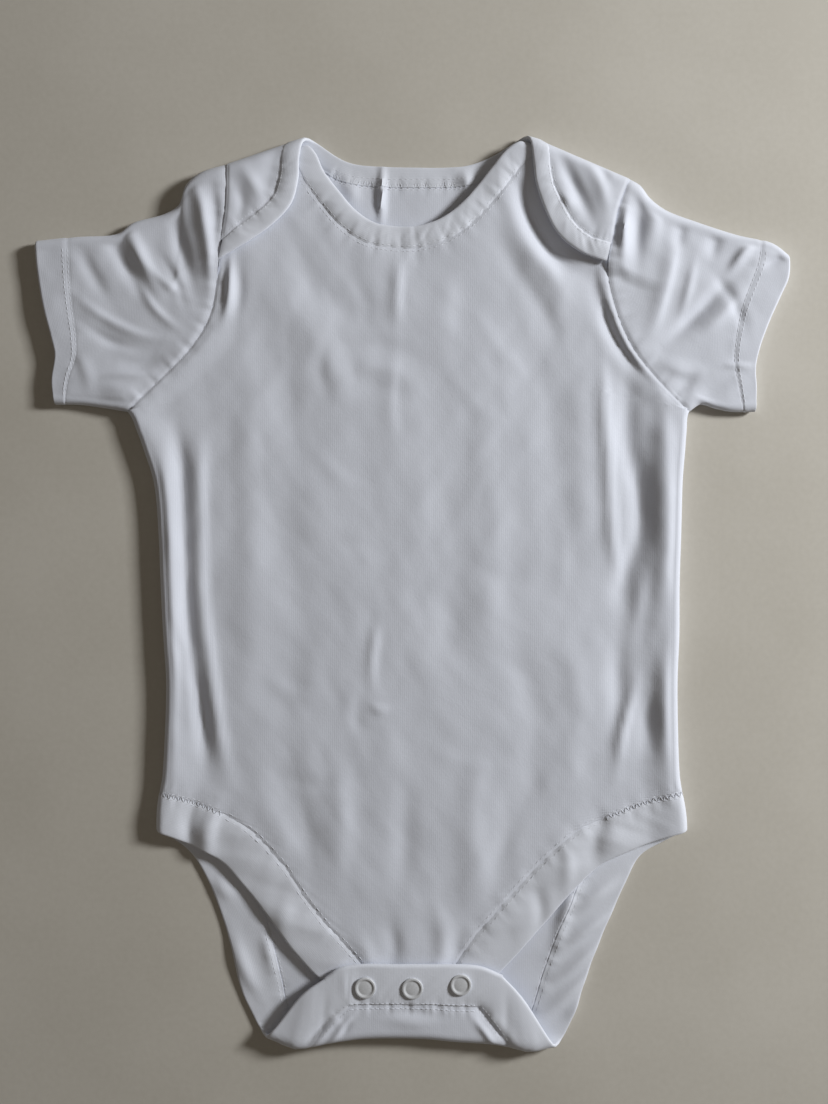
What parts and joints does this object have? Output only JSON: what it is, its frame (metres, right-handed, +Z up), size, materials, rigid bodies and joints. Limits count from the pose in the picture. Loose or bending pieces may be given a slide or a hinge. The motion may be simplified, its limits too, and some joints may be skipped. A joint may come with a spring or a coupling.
{
  "type": "baby bodysuit laid flat",
  "caption": "Short-sleeve baby bodysuit with a lap-shoulder neck and a snap crotch, laid flat on its back with the front up",
  "frame": {"origin": "middle of the footprint, on the surface that the garment lies on", "axes": "+X across to the viewer's right, +Y from the crotch to the neck, +Z up out of the front"},
  "size_m": [0.33, 0.3986, 0.0088],
  "materials": {
    "jersey": "matte cotton jersey",
    "rib_binding": "matte cotton binding",
    "snap": "satin white snap"
  },
  "bodies": {
    "root": {"back_panel": "jersey", "front_panel": "jersey", "left_sleeve": "jersey", "right_sleeve": "jersey", "front_neck_band": "rib_binding", "back_neck_band": "rib_binding", "left_leg_band": "rib_binding", "right_leg_band": "rib_binding", "crotch_placket": "rib_binding", "snap_cap_1": "snap", "snap_cap_2": "snap", "snap_cap_3": "snap", "snap_stud_1": "snap", "snap_stud_2": "snap", "snap_stud_3": "snap"}
  },
  "joints": []
}
